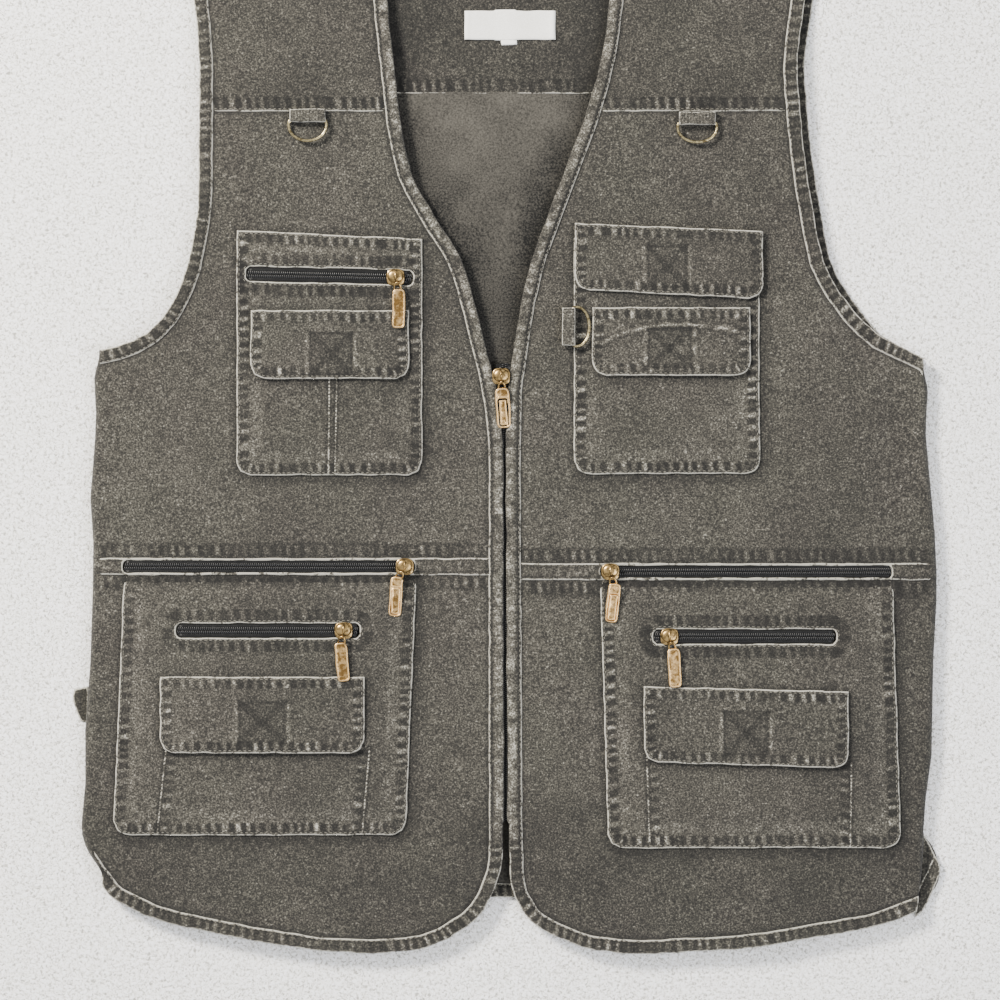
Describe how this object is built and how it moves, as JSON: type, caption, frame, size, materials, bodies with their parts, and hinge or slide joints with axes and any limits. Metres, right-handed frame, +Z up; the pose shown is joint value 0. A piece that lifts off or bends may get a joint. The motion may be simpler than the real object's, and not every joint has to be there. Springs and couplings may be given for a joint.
{
  "type": "utility work vest",
  "caption": "Sleeveless V-neck work vest with a zip front, patch pockets with flaps and zips, and D-rings, lying on its back.",
  "frame": {"origin": "middle of the bounding box's underside, on the surface that the vest lies on", "axes": "+Z up from that surface, +Y from the hem to the shoulders, +X to the right of someone looking down at the front"},
  "size_m": [0.6004, 0.7064, 0.0207],
  "materials": {
    "twill": "washed cotton twill, brushed, grey with a brown cast",
    "twill_binding": "the same twill folded and stitched, rubbed pale on the folds",
    "lining": "smooth grey lining cloth",
    "zip_chain": "black nylon coil on woven tape",
    "brass": "antiqued brass, rubbed bright on the high places",
    "label_cloth": "white woven label, blank"
  },
  "bodies": {
    "root": {"back_panel": "twill", "back_hem": "twill_binding", "back_neck_binding": "twill_binding", "back_armhole_binding_left": "twill_binding", "back_armhole_binding_right": "twill_binding", "back_yoke_facing": "twill", "back_lining": "lining", "side_fold_left": "twill", "neck_binding_left": "twill_binding", "front_edge_left": "twill_binding", "armhole_binding_left": "twill_binding", "front_skirt_left": "twill", "waistband_left": "twill", "front_panel_left": "twill", "front_yoke_left": "twill", "side_fold_right": "twill", "neck_binding_right": "twill_binding", "front_edge_right": "twill_binding", "armhole_binding_right": "twill_binding", "front_skirt_right": "twill", "waistband_right": "twill", "front_panel_right": "twill", "front_yoke_right": "twill", "front_zip": "zip_chain", "chest_pocket_left": "twill", "chest_pocket_right": "twill", "lower_pocket_left": "twill", "lower_pocket_right": "twill", "chest_flap_left": "twill", "chest_flap_right_upper": "twill", "chest_flap_right_lower": "twill", "lower_flap_left": "twill", "lower_flap_right": "twill", "chest_zip_left": "zip_chain", "welt_zip_left": "zip_chain", "welt_zip_right": "zip_chain", "waist_zip_left": "zip_chain", "waist_zip_right": "zip_chain", "chest_slider_left": "brass", "chest_pull_left": "brass", "welt_slider_left": "brass", "welt_pull_left": "brass", "welt_slider_right": "brass", "welt_pull_right": "brass", "waist_slider_left": "brass", "waist_pull_left": "brass", "waist_slider_right": "brass", "waist_pull_right": "brass", "front_slider": "brass", "front_pull": "brass", "yoke_ring_left": "brass", "yoke_ring_left_tab": "twill_binding", "yoke_ring_right": "brass", "yoke_ring_right_tab": "twill_binding", "side_ring": "brass", "side_ring_tab": "twill_binding", "label": "label_cloth", "size_tab": "label_cloth", "side_tab": "twill_binding"}
  },
  "joints": []
}
